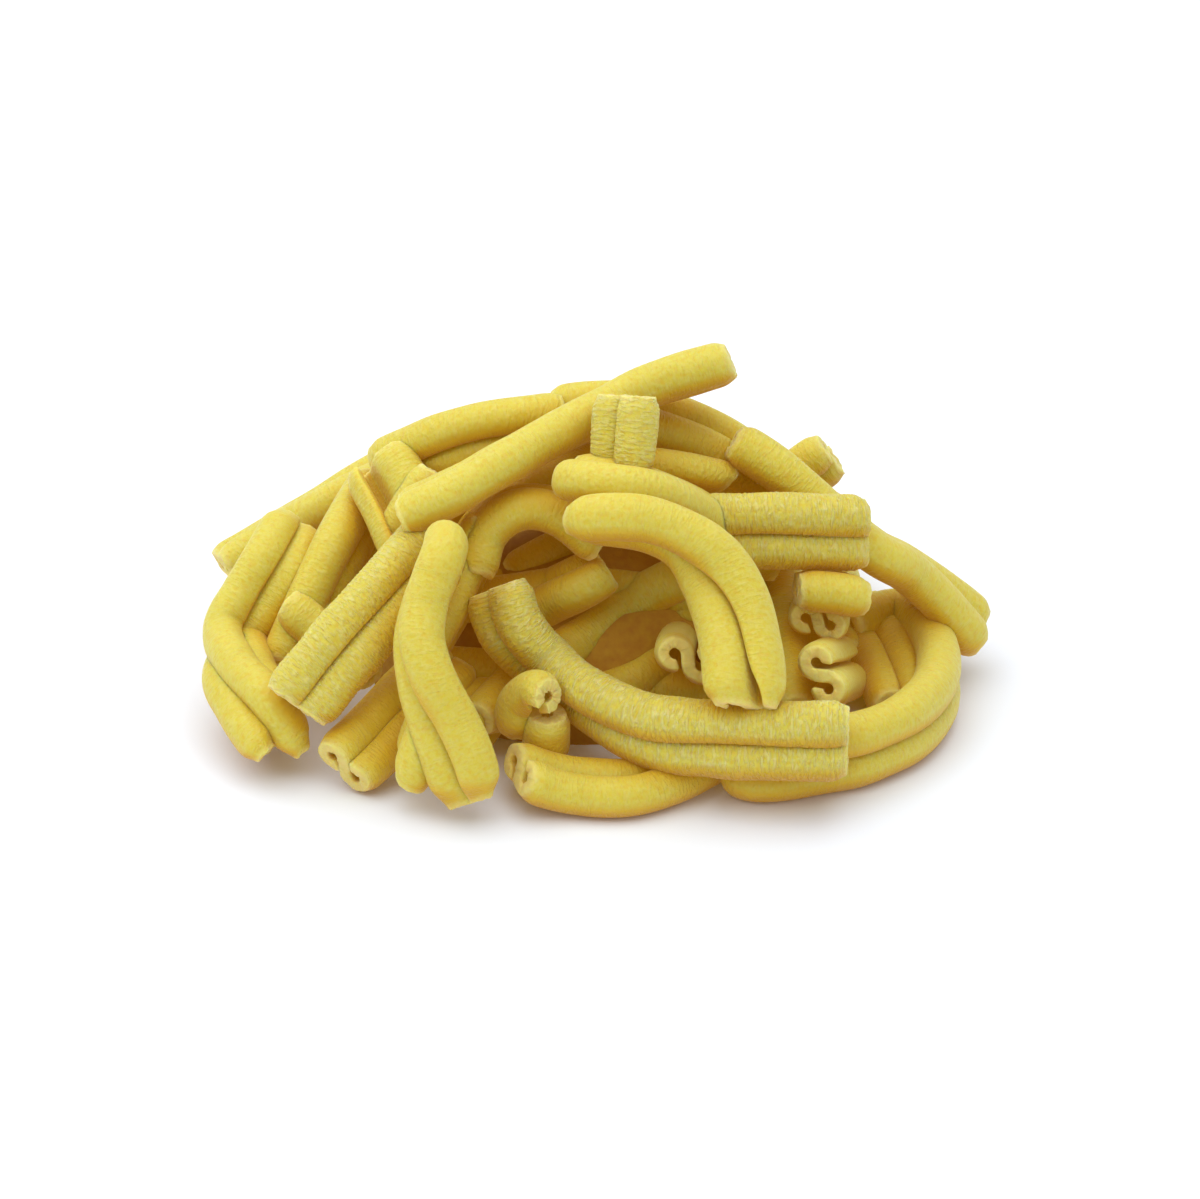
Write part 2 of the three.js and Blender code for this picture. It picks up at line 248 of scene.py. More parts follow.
RIGHT = (
    # hooked down over the front, opening at its foot
    strand((746, 707, 15.9, -5), (742, 655, 20.5, -1), (732, 610, 24.5, 14), (714, 572, 28, 38),
           (688, 543, 31, 65), (650, 525, 33, 76), (610, 520, 33.5, 80), (574, 523, 32.5, 80),
           size=1.1, cut=(-0.12, 0.0), opens=(35, 0), taper=0.4),
    # hooked above it
    strand((570, 476, 35, 70), (610, 482, 36, 80), (655, 492, 34, 85), (700, 515, 28, 85),
           (722, 545, 23, 85)),
    # long, down to the right-hand edge, and the stub behind it
    strand((733, 441, 33, 92), (775, 468, 30, 90), (812, 500, 26, 90), (868, 547, 20.5, 85),
           (905, 569, 16, 82), (940, 596, 11.5, 72), (977, 632, 5.6, 52), size=1.04),
    strand((831, 454, 25, 60), (800, 476, 22, 60), (765, 502, 18, 60), curl=262),
    # the broad bar, and one under it
    strand((864, 533, 24.5, 22), (780, 531, 26, 22), (700, 532, 26, 22), size=1.08, rough=0.8,
           fine=True),
    strand((797, 590, 18.5, 88), (832, 592, 18, 88), (860, 597, 17, 88)),
    # two S ends that look out of the gaps
    strand((818, 622, 14.5, 15), (820, 614, 11, 15), (823, 606, 6, 15), size=0.85, curl=282),
    strand((846, 667, 5, -10), (833, 671, 9, -10), (822, 676, 13, -10), size=0.95, curl=276),
    # two between
    strand((782, 560, 12, 80), (790, 640, 8, 80), (800, 720, 4.8, 80)),
    strand((856, 610, 6.5, 15), (882, 650, 4.4, 15), (905, 705, 3.4, 15)),
    # the long loop that lies on the table
    strand((848, 640, 5.05, 90), (872, 629, 5.05, 90), (898, 625, 5.05, 90), (922, 637, 5.05, 90),
           (937, 665, 5.05, 90), (934, 698, 5.05, 90), (908, 727, 5.05, 90), (868, 746, 5.05, 90),
           (830, 755, 5.05, 90), (785, 763, 5.05, 90), (752, 764, 5.05, 90), (732, 756, 5.05, 90),
           level=True, size=1.07),
)
FAR = (
    # three on the table
    placed((-45, 3, 4.1), (-42, 20, 4.1), (-27, 34, 4.1), roll=10),
    placed((-19, 34.5, 4.1), (2, 37.6, 4.1), (26, 33.5, 4.1), roll=5),
    placed((18, 31, 4.3), (27, 26, 4.2), (31, 16, 4.1), roll=15),
    # six that lean on the core
    placed((-34, 29, 8.5), (-26, 21, 17), (-17, 12.5, 26), roll=-10),
    placed((-20, 31, 9.5), (-16, 21, 19), (-10, 13, 28), roll=15),
    placed((-9, 34.6, 7.4), (-3, 24, 19), (-1, 14, 29.5), roll=-20),
    placed((5, 35, 7.4), (6, 23, 20), (8, 13, 29), roll=20),
    placed((19, 32.5, 8), (17, 21, 18.5), (14, 12, 27.5), roll=-15),
    placed((33, 23, 10), (28, 18, 15.5), (21, 13, 22), roll=10),
    # one across them
    placed((-17, 29, 19.5), (-2, 29, 21.5), (13, 26, 22), roll=20),
)
UNDER = (
    # four low down, and two higher up
    placed((-28, 24, 4.5), (-10, 26, 4.5), (10, 24, 4.5)),
    placed((-30, 4, 5), (-12, 8, 6), (8, 4, 6)),
    placed((12, 14, 5), (26, 8, 5), (30, -6, 5)),
    placed((-18, -22, 6), (-2, -15, 6), (16, -14, 6)),
    placed((-22, -8, 14), (-4, -6, 16), (14, -6, 14), roll=10),
    placed((2, 2, 22), (14, 2, 20), (24, 0, 16)),
)

# The core is half an ellipsoid that stands on the table, in mm.
CORE_MIDDLE = (-2.0, 4.0)
CORE_REACH = (29.0, 24.0)
CORE_TOP = 21.0
CORE_PARTS = (48, 24)  # round it, and from pole to pole before it is halved
CORE_SMOOTH = math.radians(40)


# ---- settings -------------------------------------------------------------------------------
def length_setting(name, description, default_mm):
    return bpy.props.FloatProperty(
        name=name, description=description, default=default_mm * MM, min=0.0,
        unit="LENGTH", subtype="DISTANCE", precision=5,
    )


def colour_setting(name, description, default):
    return bpy.props.FloatVectorProperty(
        name=name, description=description, default=default, size=3, min=0.0, max=1.0,
        subtype="COLOR",
    )


def power_setting(name, description, default):
    return bpy.props.FloatProperty(
        name=name, description=description, default=default, min=0.0, unit="POWER"
    )


class CaserecceShape(bpy.types.PropertyGroup):
    """Sizes of one strand."""

    strip: length_setting("Strip thickness", "Thickness of the rolled strip", STRIP)
    roll_radius: length_setting("Roll radius", "Middle of the strip round each roll's axis", ROLL_RADIUS)
    roll_offset: length_setting("Roll offset", "From the strand's middle to each roll's axis", ROLL_OFFSET)
    edge: length_setting("Edge rounding", "Rounding of the strip's edges", EDGE)
    ripple: length_setting("Ripple height", "Height of the modelled die ripples", RIPPLE_HEIGHT)
    seed: bpy.props.IntProperty(
        name="Seed", description="Draw of the small differences", default=7, min=0
    )


class CaserecceLook(bpy.types.PropertyGroup):
    """Colours of the dry pasta and of the table."""

    pale: colour_setting("Pale", "Where the surface is driest", (0.69, 0.60, 0.050))
    deep: colour_setting("Deep", "Where the pasta is denser", (0.66, 0.54, 0.020))
    # Shade, Inner and Glow are painted shade and a painted glow, mixed in by how much light each place
    # loses to the strands round it.
    shade: colour_setting("Shade", "Where other strands lie near", (0.67, 0.45, 0.012))
    inner: colour_setting("Inner", "Deep in the heap", (0.40, 0.145, 0.002))
    glow: colour_setting("Glow", "Light that soaks through to the inner places", (0.10, 0.050, 0.001))
    cut: colour_setting("Cut ends", "Chalky break at the ends and on the ripples", (0.78, 0.72, 0.29))
    floor: colour_setting("Table", "The plain table", (0.89, 0.93, 1.0))


class CaserecceStage(bpy.types.PropertyGroup):
    """Lights over the heap."""

    key: power_setting("Overhead light", "Power of the large light above", 5.7)
    fill: power_setting("Front light", "Power of the light in front", 0.2)
    sky: bpy.props.FloatProperty(
        name="Surroundings", description="Even light all round", default=0.56, min=0.0
    )


# ---- shader nodes -----------------------------------------------------------------------------
class Value:
    """A socket that adds its Math nodes when it is used in an expression."""

    def __init__(self, finish, socket):
        self.finish, self.socket = finish, socket

    def maths(self, operation, *values, clamp=False):
        return self.finish.add(
            "ShaderNodeMath", {"operation": operation, "use_clamp": clamp}, dict(enumerate(values))
        )

    def __add__(self, other):
        return self.maths("ADD", self, other)

    def __sub__(self, other):
        return self.maths("SUBTRACT", self, other)

    def __rsub__(self, other):
        return self.maths("SUBTRACT", other, self)

    def __mul__(self, other):
        return self.maths("MULTIPLY", self, other)

    __radd__ = __add__
    __rmul__ = __mul__

    def sine(self):
        return self.maths("SINE", self)

    def clamped(self):
        return self.maths("ADD", self, 0.0, clamp=True)


class Finish:
    """A material whose nodes are added one by one."""

    def __init__(self, name):
        self.material = bpy.data.materials.new(name)
        self.material.use_nodes = True
        self.tree = self.material.node_tree
        self.shader = self.tree.nodes["Principled BSDF"]

    def add(self, kind, settings=None, values=None, out=0):
        node = self.tree.nodes.new(kind)
        for name, setting in (settings or {}).items():
            if name == "stops":
                self.set_stops(node, setting)
            else:
                setattr(node, name, setting)
        for key, value in (values or {}).items():
            self.feed(node.inputs[key], value)
        return Value(self, node.outputs[out])

    def feed(self, socket, value):
        if isinstance(value, Value):
            self.tree.links.new(value.socket, socket)
        else:
            socket.default_value = value

    @staticmethod
    def set_stops(node, stops):
        """Gives a ramp its two stops."""
        for element, (place, level) in zip(node.color_ramp.elements, stops):
            element.position = place
            element.color = (level, level, level, 1.0)

    def ramp(self, value, *stops):
        """A grey ramp. Each of its two stops is (place, level)."""
        return self.add("ShaderNodeValToRGB", {"stops": stops}, {0: value})

    def mix(self, share, first, second):
        """The first colour, with this share of the second."""
        colours = [c if isinstance(c, Value) else (*c, 1.0) for c in (first, second)]
        return self.add(
            "ShaderNodeMix",
            {"data_type": "RGBA", "clamp_factor": True},
            {0: share, 6: colours[0], 7: colours[1]},
            out=2,
        )

    def noise(self, place, scale, detail=3.0, roughness=0.55):
        return self.add(
            "ShaderNodeTexNoise",
            {},
            {"Vector": place, "Scale": scale, "Detail": detail, "Roughness": roughness},
        )

    def parts(self, attribute):
        """A vector that the mesh keeps, whole and in its three parts."""
        kept = self.add("ShaderNodeAttribute", {"attribute_name": attribute}, out="Vector")
        split = self.add("ShaderNodeSeparateXYZ", {}, {0: kept}).socket.node
        return kept, [Value(self, output) for output in split.outputs]

    def set(self, **values):
        for name, value in values.items():
            self.feed(self.shader.inputs[name.replace("_", " ")], value)


def pasta_finish(look):
    """Dry durum pasta: satin yellow, denser in places, chalky on ripples and cut ends, with painted shade
    and a painted glow among the strands.
    """
    finish = Finish("dry_pasta")
    place = finish.add("ShaderNodeTexCoord", out="Object")
    strip, (_, along, painted_shade) = finish.parts("strip")
    _, (tone, rough, end) = finish.parts("looks")

    clouds = finish.noise(place, CLOUDS, 2.0)
    grain = finish.noise(place, GRAIN, 3.0, 0.6)
    crumbs = finish.noise(place, CRUMBS, 2.0, 0.5)
    sway = finish.noise(place, SWAY, 2.0)

    # Ripples run across the strip, broken up by patches of plain grain.
    phase = along * (1.0 / RIPPLE) + sway * 1.6 + crumbs * 0.9
    wave = (phase * (2.0 * math.pi)).sine() * 0.5 + 0.5
    patches = finish.ramp(finish.noise(place, PATCHES, 2.0), (0.38, 0.0), (0.62, 1.0))
    ripples = wave * patches * rough

    # Beads, longer across the strip than along it, cover a rough strand.
    stretched = finish.add("ShaderNodeVectorMath", {"operation": "MULTIPLY"}, {0: strip, 1: BEADS})
    beads = finish.ramp(finish.noise(stretched, 1.0, 1.5, 0.5), (0.46, 0.0), (0.62, 1.0)) * rough

    # The colour starts as the pasta's own, which is paler on the grain and darker in the pits; that
    # darkening is partly the grain's own and partly painted shade in the hollows of the bump.
    dense = (clouds * 0.9 + tone * 0.55 - 0.25).clamped()
    fine = finish.ramp(grain, (0.30, 0.0), (0.75, 1.0))
    pits = finish.ramp(crumbs, (0.30, 1.0), (0.50, 0.0))
    specks = finish.ramp(crumbs, (0.56, 0.0), (0.74, 1.0)) * (rough + 0.3)
    chalk = (ripples * RIPPLE_CHALK + beads * BEAD_CHALK + specks * SPECK_CHALK).clamped()
    colour = finish.mix(dense, look.pale, look.deep)
    colour = finish.mix(fine * GRAIN_CHALK, colour, look.cut)
    colour = finish.mix(pits * PIT_SHADE, colour, look.shade)
    colour = finish.mix(chalk, colour, look.cut)

    # Painted shade: near other strands it turns to ochre, and deep in the heap to brown, with a painted
    # glow that stands in for light soaking through.
    painted_near_shade = finish.ramp(painted_shade, (0.06, 0.0), (0.42, 1.0))
    painted_deep_shade = finish.ramp(painted_shade, (0.42, 0.0), (0.90, 1.0))
    painted_glow_share = finish.ramp(painted_shade, (0.34, 0.0), (0.80, 1.0))
    colour = finish.mix(painted_near_shade, colour, look.shade)
    colour = finish.mix(painted_deep_shade, colour, look.inner)
    painted_glow = finish.mix(painted_glow_share, (0.0, 0.0, 0.0), look.glow)

    # The broken ends are chalky, with a ragged border.
    broken = (1.0 - end * (1.0 / BROKEN_REACH) + (grain - 0.5) * 0.8).clamped()
    colour = finish.mix(broken * BROKEN_CHALK, colour, look.cut)

    height = grain * 0.4 + crumbs * 0.45 * (rough + 0.5) + ripples * 0.35 + beads * 1.2 + clouds * 0.3
    bump = finish.add(
        "ShaderNodeBump", {}, {"Strength": 0.9, "Distance": BUMP_DEPTH * MM, "Height": height}
    )
    finish.set(
        Base_Color=colour,
        Emission_Color=painted_glow,
        Emission_Strength=1.0,
        Roughness=(0.42 + grain * 0.16 + broken * 0.2),
        Normal=bump,
        IOR=1.48,
        Specular_IOR_Level=0.35,
        Sheen_Weight=0.12,
        Sheen_Roughness=0.6,
        Subsurface_Weight=0.9,
        Subsurface_Radius=(1.0, 0.75, 0.2),
        Subsurface_Scale=1.2 * MM,
    )
    return finish.material


def core_finish(look):
    """The pasta deep inside the heap, seen only in the gaps, painted in the dark colours of painted shade.
    """
    finish = Finish("painted_shade_core")
    place = finish.add("ShaderNodeTexCoord", out="Object")
    grain = finish.noise(place, INNER_GRAIN, 3.0)
    # Painted shade: the core takes the dark inner and shade colours in place of the pasta's own.
    colour = finish.mix(finish.ramp(grain, (0.2, 0.1), (0.9, 0.5)), look.inner, look.shade)
    bump = finish.add("ShaderNodeBump", {}, {"Strength": 0.5, "Distance": 0.3 * MM, "Height": grain})
    finish.set(Base_Color=colour, Roughness=0.75, Normal=bump)
    return finish.material


def table_finish(look):
    """Plain matt white table."""
    finish = Finish("table_white")
    place = finish.add("ShaderNodeTexCoord", out="Object")
    haze = finish.noise(place, 6.0, 1.0)
    tint = finish.mix(haze * 0.08, look.floor, TABLE_HAZE)
    finish.set(Base_Color=tint, Roughness=0.85, Specular_IOR_Level=0.2)
    return finish.material


# ---- routes -----------------------------------------------------------------------------------
def spot(across, down, height):
    """Where a point seen at (across, down) lies when it is this high above the table."""
    seen = AIM + (across - AIM_SPOT[0]) * UNIT * RIGHTWARDS + (AIM_SPOT[1] - down) * UNIT * UPWARDS
    share = (EYE[2] - height) / (EYE[2] - seen[2])
    return EYE + share * (seen - EYE)


def smooth(points, count):
    """Catmull-Rom through the points, at count + 1 even shares of its segments."""
    points = np.asarray(points, float)
    held = np.vstack([2 * points[0] - points[1], points, 2 * points[-1] - points[-2]])
    place = np.linspace(0, len(points) - 1, count + 1)
    k = np.minimum(place.astype(int), len(points) - 2)
    t = (place - k)[:, None]
    a, b, c, d = (held[k + i] for i in range(4))
    return 0.5 * (2 * b + (c - a) * t + (2 * a - 5 * b + 4 * c - d) * t**2 + (3 * b - a - 3 * c + d) * t**3)


def unit(rows):
    return rows / np.linalg.norm(rows, axis=1)[:, None]


class Route:
    """A strand's middle line with its two axes, at even steps along its length."""

    SAMPLES = 400

    def __init__(self, row):
        points = [spot(*p) for p in row["at"]] if row["seen"] else row["at"]
        line = smooth(points, self.SAMPLES)
        reach = np.concatenate([[0], np.cumsum(np.linalg.norm(np.diff(line, axis=0), axis=1))])
        self.length = reach[-1]
        even = np.linspace(0, self.length, self.SAMPLES + 1)
        rolls = smooth(np.array(row["roll"], float)[:, None], self.SAMPLES)[:, 0]
        roll = np.radians(np.interp(even, reach, rolls))[:, None]
        self.line = np.stack([np.interp(even, reach, line[:, i]) for i in range(3)], 1) + SHIFT
        self.heading = unit(np.gradient(self.line, axis=0))
        side = unit(np.cross(self.heading, UP if row["level"] else TO_EYE))
        face = np.cross(side, self.heading)
        self.wide = np.cos(roll) * side + np.sin(roll) * face
        self.deep = np.cos(roll) * face - np.sin(roll) * side

    def carry(self, share, wide, deep):
        """Points at these shares of the length and offsets along the two axes."""
        place = np.clip(share, 0, 1) * self.SAMPLES
        rows = [
            np.stack([np.interp(place, np.arange(self.SAMPLES + 1), part[:, i]) for i in range(3)], 1)
            for part in (self.line, self.wide, self.deep, self.heading)
        ]
        beyond = (share - np.clip(share, 0, 1)) * self.length
        return rows[0] + wide[:, None] * rows[1] + deep[:, None] * rows[2] + beyond[:, None] * rows[3]


# ---- shade ------------------------------------------------------------------------------------
@functools.cache
def all_balls():
    """Balls along both rolls of every strand."""
    rows = []
    for row in CREST + LEFT + MIDDLE + RIGHT + FAR + UNDER:
        route = Route(row)
        count = max(2, round(route.length / BALL_STEP))
        share = (np.arange(count) + 0.5) / count
        for side in (0.0,) if row["one_roll"] else (-1.0, 1.0):
            aside = np.full(count, side * ROLL_OFFSET * row["size"])
            rows.append(route.carry(share, aside, np.zeros(count)))
    return np.vstack(rows)


def shelter(points, normals, reach):
    """How much of the light from above and round it each place loses to the strands, 0 to 1, for the
    material to paint as shade.
    """
    radius = ROLL_RADIUS + STRIP / 2
    lost = np.zeros(len(points))
    for part in np.array_split(np.argsort(reach), max(1, round(np.ptp(reach) / SHELTER_PART))):
        here, facing = points[part], normals[part]
        balls = all_balls()
        balls = balls[np.linalg.norm(balls - here.mean(axis=0), axis=1) < SHELTER]
        towards = balls[None] - here[:, None]
        away = np.maximum(np.linalg.norm(towards, axis=2), radius)
        square_on = np.clip(np.einsum("ijk,ik->ij", towards, facing) / away, 0, 1)
        from_above = np.clip(BESIDE + (1 - BESIDE) * towards[..., 2] / away, BENEATH, 1)
        lost[part] = ((radius / away) ** 2 * square_on * from_above).sum(axis=1)
    lost += UNDERSIDE * np.clip(UNDERSIDE_FROM - normals[:, 2], 0, 1)
    return 1 - np.exp(-SHADE_RATE * lost)


# ---- a strand's section -----------------------------------------------------------------------
class Section:
    """The S in mm: each half of the strip runs straight at first, then round its roll."""

    def __init__(self, shape):
        self.radius = shape.roll_radius / MM
        self.offset = shape.roll_offset / MM
        self.straight = math.sqrt(self.offset**2 - self.radius**2)
        self.half_width = self.straight + math.radians(CURL) * self.radius

    def rolled(self, across, through, curl, spread):
        """Rolls flat strip coordinates up to the S: the offsets along the strand's two axes."""
        slant = math.acos(self.radius / self.offset) - math.pi
        axis = np.array([self.offset, 0.0])
        gone = np.abs(across) * (curl / CURL)
        round_it = np.maximum(gone - self.straight, 0)
        turn = slant + round_it / self.radius
        open_by = 1 + spread * (round_it / (math.radians(CURL) * self.radius)) ** 2
        inward = -np.stack([np.cos(turn), np.sin(turn)], 1)
        middle = axis - self.radius * open_by[:, None] * inward
        flat = gone < self.straight
        leave = axis + self.radius * np.array([math.cos(slant), math.sin(slant)])
        middle[flat] = (gone[flat] / self.straight)[:, None] * leave
        both = np.sign(across)[:, None] * middle + through[:, None] * inward
        return both[:, 0], both[:, 1]

    def hollow(self, across, through):
        """One on the hollow side of each roll, none on the outside."""
        facing_in = through * np.sign(across) > 0
        return np.clip(np.abs(across) / self.straight - HOLLOW_FROM, 0, 1) * facing_in


# ---- small seeded differences -----------------------------------------------------------------
def waves(draw, place, pitch, count=3):
    """A slow seeded wave along a line, about one high."""
    total = np.zeros_like(place)
    for _ in range(count):
        length = pitch * draw.uniform(*WAVE_PITCHES)
        total += np.sin(place * 2 * math.pi / length + draw.uniform(0, ANY_PHASE))
    return total / math.sqrt(count)


def mottle(draw, across, along, pitch, count=9):
    """Seeded blotches over a strip, about one high."""
    total = np.zeros_like(across)
    for _ in range(count):
        turn, size = draw.uniform(0, math.pi), pitch * draw.uniform(*BLOTCH_PITCHES)
        line = across * math.cos(turn) + along * math.sin(turn)
        total += np.sin(line * 2 * math.pi / size + draw.uniform(0, ANY_PHASE))
    return total * math.sqrt(2 / count)


def mottled(level, draw, across, along, sizes):
    """A level with blotches of several sizes added to it, each given as (height, pitch)."""
    for high, pitch in sizes:
        level = level + high * mottle(draw, across, along, pitch)
    return level


# ---- making a strand --------------------------------------------------------------------------
def read_vectors(rows, name):
    """The vector of that name in each of a mesh's rows."""
    values = np.zeros(len(rows) * 3, np.float32)
    rows.foreach_get(name, values)
    return values.reshape(-1, 3)


def move_to(mesh, points):
    """Puts the mesh's corners at these points, in mm."""
    mesh.vertices.foreach_set("co", (points * MM).ravel())
    mesh.update()


def give(mesh, name, rows):
    """Keeps a vector for each corner, for the material to read."""
    kept = mesh.attributes.new(name, "FLOAT_VECTOR", "POINT")
    kept.data.foreach_set("vector", rows.astype(np.float32).ravel())


def flat_strip(shape, half_width, along_parts):
    """A flat strip, LAY_LENGTH long and with rounded edges, as a mesh in mm."""
    name = f"strip_{along_parts}"
    if name in bpy.data.meshes:
        return bpy.data.meshes[name]
    bpy.ops.object.select_all(action="DESELECT")
    bpy.ops.mesh.primitive_grid_add(x_subdivisions=ACROSS_PARTS, y_subdivisions=along_parts, size=2)
    strip = bpy.context.object
    bpy.ops.object.mode_set(mode="EDIT")
    bpy.ops.mesh.select_all(action="SELECT")
    bpy.ops.transform.resize(value=(half_width, LAY_LENGTH / 2, 1.0))
    bpy.ops.object.mode_set(mode="OBJECT")
    wall = strip.modifiers.new("thickness", "SOLIDIFY")
    wall.thickness = shape.strip / MM
    wall.offset = 0.0
    bpy.ops.object.modifier_apply(modifier=wall.name)
    edges = strip.modifiers.new("edges", "BEVEL")
    edges.width = shape.edge / MM
    edges.segments = EDGE_PARTS
    edges.limit_method = "ANGLE"
    bpy.ops.object.modifier_apply(modifier=edges.name)
    mesh = strip.data
    mesh.name = name
    bpy.data.objects.remove(strip)
    return mesh


def roll_up(section, row, draw, across, through, past):
    """The offsets of a strip that is rolled up a little unevenly and narrows at its ends."""
    reach = past[0]
    spread = SPREAD * waves(draw, reach, SPREAD_PITCH)
    curl = row["curl"] * (1 + CURL_DRIFT * waves(draw, reach, CURL_PITCH))
    for opens, away in zip(row["opens"], past):
        curl = curl - opens * np.exp(-((away / OPENING_REACH) ** 2))
    wide, deep = section.rolled(across, through, curl, spread)
    middle = np.clip(wide, -section.offset, section.offset)
    if row["one_roll"]:
        wide, middle = wide - section.offset, np.zeros_like(wide)

    least, more = TAPER_REACH
    rim = row["taper"] * np.exp(-((past.min(axis=0) / (least + more * row["taper"])) ** 2))
    wide, deep = middle + (wide - middle) * (1 - rim), deep * (1 - rim)
    girth = row["size"] * (1 + GIRTH_DRIFT * waves(draw, reach, GIRTH_PITCH))
    return wide * girth, deep * girth


def cut_ends(row, draw, across, through, wide, deep, past):
    """How far along each place lies once the cut at each end leans and is uneven."""
    reach = past[0]
    uneven = sum(high * waves(draw, across + slant * through, pitch) for high, slant, pitch in CUT_ROUGH)
    least, more = CUT_REACH
    for cut, away in zip(row["cut"], past):
        lean = cut or draw.uniform(-CUT_LEAN, CUT_LEAN)
        near = np.exp(-((away / (least + more * abs(lean))) ** 2))
        reach = reach + near * (uneven + lean * wide + draw.uniform(-CUT_TILT, CUT_TILT) * deep)
    return reach


def raise_ripples(shape, mesh, points, draw, across, reach):
    """Raises the ripples that the die leaves across a rough strand."""
    drift = mottled(0.0, draw, across, reach, RIPPLE_DRIFT)
    crest = np.sin(2 * math.pi * reach / RIPPLE + drift)
    patches = np.clip(mottled(RIPPLE_COVER, draw, across, reach, RIPPLE_PATCHES), 0, 1)
    raise_by = shape.ripple / MM * mottled(crest * patches, draw, across, reach, RIPPLE_BEADS)
    move_to(mesh, points + raise_by[:, None] * read_vectors(mesh.vertex_normals, "vector"))


def make_strand(context, row, draw, name):
    """Rolls a strip up, lays it along its route and gives it its ripples."""
    shape = context.scene.caserecce_shape
    section, route = Section(shape), Route(row)
    step = FINE_STEP if row["fine"] else PLAIN_STEP if row["seen"] else HIDDEN_STEP
    along_parts = max(PARTS_LEAST, PARTS_ROUND * round(route.length / step / PARTS_ROUND))
    mesh = flat_strip(shape, section.half_width, along_parts).copy()
    flat = read_vectors(mesh.vertices, "co").astype(float)
    across, through = flat[:, 0], flat[:, 2]
    share = flat[:, 1] / LAY_LENGTH + 0.5
    reach = share * route.length
    past = np.stack([reach, route.length - reach])  # how far past each end a place lies

    turned = (across + section.half_width) / 2 if row["one_roll"] else across
    wide, deep = roll_up(section, row, draw, turned, through, past)
    cut_reach = cut_ends(row, draw, across, through, wide, deep, past)
    points = route.carry(cut_reach / route.length, wide, deep)
    move_to(mesh, points)
    if row["fine"]:
        raise_ripples(shape, mesh, points, draw, across, reach)

    # Painted shade: the light each place loses to the strands round it, to facing down and to the hollow of
    # its roll, kept for the material to paint.
    painted_shade_level = shelter(points, read_vectors(mesh.vertex_normals, "vector"), reach)
    painted_shade_level = np.maximum(painted_shade_level, HOLLOW_SHADE * section.hollow(turned, through))
    pattern = reach + PATTERN_SHIFT * draw.integers(0, PATTERN_SHIFTS)
    tone = np.full(len(across), draw.uniform(0.0, 1.0))
    rough = np.full(len(across), row["rough"])
    # The strip's third part carries that painted shade.
    give(mesh, "strip", np.stack([across, pattern, painted_shade_level], 1))
    give(mesh, "looks", np.stack([tone, rough, np.minimum(share, 1 - share) * route.length], 1))
    for face in mesh.polygons:
        face.use_smooth = True
    made = bpy.data.objects.new(name, mesh)
    context.collection.objects.link(made)
    return made


# ---- making a piece ---------------------------------------------------------------------------
def shared(name, make, look):
    """The material of that name, made when it is first asked for."""
    return bpy.data.materials.get(name) or make(look)


def finished(piece, material, name):
    """Names a piece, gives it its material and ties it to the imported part."""
    piece.name = piece.data.name = name
    piece.data.materials.clear()
    piece.data.materials.append(material)
    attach(piece, BODY)
    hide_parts(NODE)


def make_group(context, rows, name):
    """Makes a group of strands and joins them to one piece."""
    draw = np.random.default_rng([context.scene.caserecce_shape.seed, *name.encode()])
    made = [make_strand(context, row, draw, f"{name}_{i}") for i, row in enumerate(rows)]
    bpy.ops.object.select_all(action="DESELECT")
    for one in made:
        one.select_set(True)
    context.view_layer.objects.active = made[0]
    bpy.ops.object.join()
    group = context.view_layer.objects.active
    if len(group.data.polygons) == 0:
        raise RuntimeError(f"{name} came out empty")
    finished(group, shared("dry_pasta", pasta_finish, context.scene.caserecce_look), name)


# ---- operators -----------------------------------------------------------------------------------
class CASERECCE_OT_crest(bpy.types.Operator):
    """Lay the strands over the crest"""

    bl_idname = "caserecce.crest"
    bl_label = "Crest"

    def execute(self, context):
        make_group(context, CREST, "crest_strands")
        return {"FINISHED"}


class CASERECCE_OT_left(bpy.types.Operator):
    """Lay the strands of the left side"""

    bl_idname = "caserecce.left"
    bl_label = "Left side"

    def execute(self, context):
        make_group(context, LEFT, "left_strands")
        return {"FINISHED"}


class CASERECCE_OT_middle(bpy.types.Operator):
    """Lay the strands of the middle"""

    bl_idname = "caserecce.middle"
    bl_label = "Middle"

    def execute(self, context):
        make_group(context, MIDDLE, "middle_strands")
        return {"FINISHED"}


class CASERECCE_OT_right(bpy.types.Operator):
    """Lay the strands of the right side"""

    bl_idname = "caserecce.right"
    bl_label = "Right side"

    def execute(self, context):
        make_group(context, RIGHT, "right_strands")
        return {"FINISHED"}


class CASERECCE_OT_far(bpy.types.Operator):
    """Lay the strands of the far side and those under the others"""

    bl_idname = "caserecce.far"
    bl_label = "Far side"

    def execute(self, context):
        make_group(context, FAR + UNDER, "far_strands")
        return {"FINISHED"}


class CASERECCE_OT_core(bpy.types.Operator):
    """Fill the middle of the heap under the strands"""

    bl_idname = "caserecce.core"
    bl_label = "Core"

    def execute(self, context):
        bpy.ops.object.select_all(action="DESELECT")
        segments, rings = CORE_PARTS
        bpy.ops.mesh.primitive_uv_sphere_add(segments=segments, ring_count=rings, radius=1.0)
        core = context.object
        bpy.ops.object.mode_set(mode="EDIT")
        bpy.ops.mesh.select_all(action="SELECT")
        bpy.ops.mesh.bisect(plane_co=(0, 0, 0), plane_no=(0, 0, 1), use_fill=True, clear_inner=True)
        bpy.ops.mesh.select_all(action="SELECT")
        bpy.ops.transform.resize(
            value=(CORE_REACH[0] * MM, CORE_REACH[1] * MM, CORE_TOP * MM), center_override=(0, 0, 0)
        )
        place = [CORE_MIDDLE[i] + SHIFT[i] for i in range(2)]
        bpy.ops.transform.translate(value=(place[0] * MM, place[1] * MM, 0.0))
        bpy.ops.mesh.normals_make_consistent(inside=False)
        bpy.ops.object.mode_set(mode="OBJECT")
        bpy.ops.object.shade_smooth_by_angle(angle=CORE_SMOOTH)
        finished(core, shared("painted_shade_core", core_finish, context.scene.caserecce_look), "heap_core")
        return {"FINISHED"}


